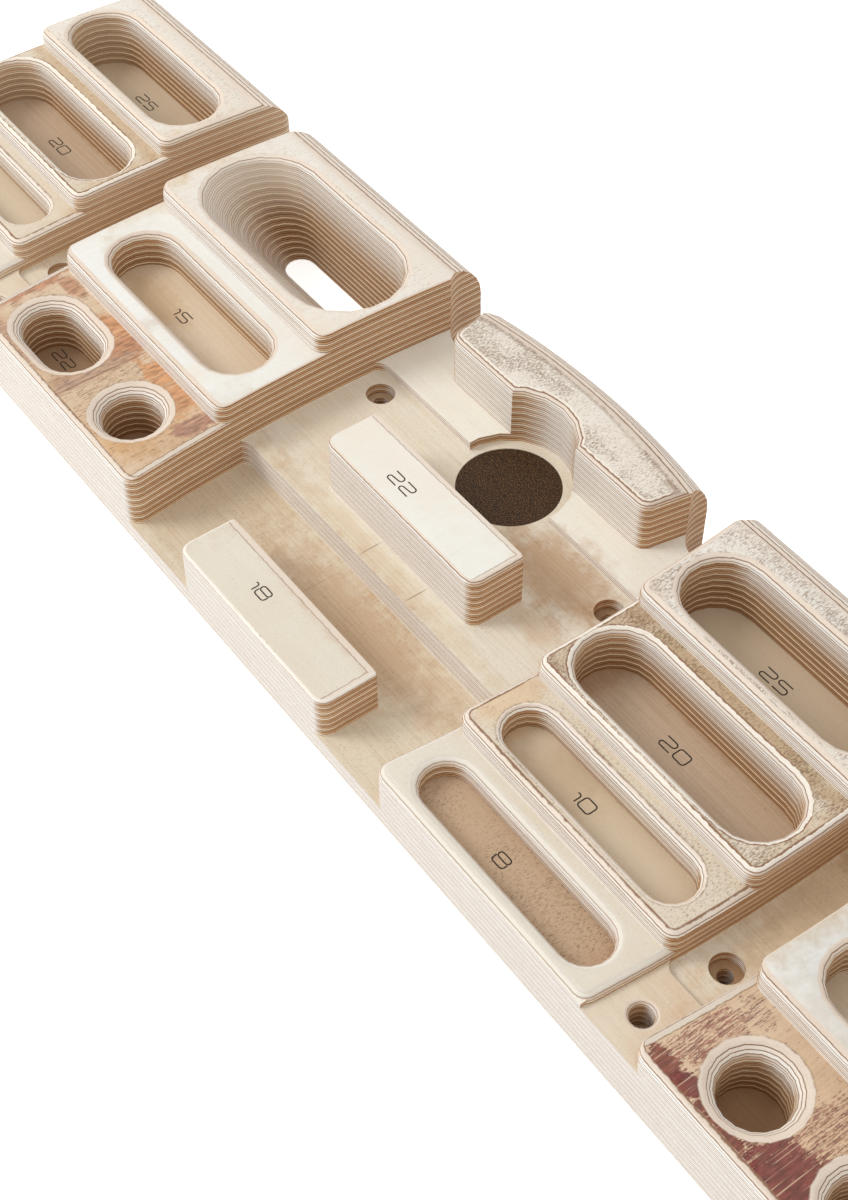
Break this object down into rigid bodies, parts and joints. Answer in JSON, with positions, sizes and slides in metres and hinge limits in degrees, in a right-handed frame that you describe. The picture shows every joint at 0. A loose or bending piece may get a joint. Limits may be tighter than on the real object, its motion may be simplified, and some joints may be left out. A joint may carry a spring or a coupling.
{
  "type": "finger training board",
  "caption": "Laminated wooden finger training board milled with stepped pockets, jugs, a centre sloper and edge bars.",
  "frame": {"origin": "centre of the flat back face", "axes": "+X along the board to the right as it hangs, +Y to the upper edge as it hangs, +Z out of the front face"},
  "size_m": [0.6228, 0.1606, 0.0485],
  "materials": {
    "back_ply": "milled and sanded, bare",
    "core_ply": "milled and sanded, bare",
    "face_ply": "milled and sanded, bare"
  },
  "bodies": {
    "root": {"back_sheet": "back_ply", "core_sheet": "core_ply", "edge_bar_low": "face_ply", "block_a_face": "face_ply", "block_b_face": "face_ply", "sloper_face": "face_ply", "edge_bar_high": "face_ply", "block_c_face": "face_ply", "block_d_face": "face_ply"}
  },
  "joints": []
}
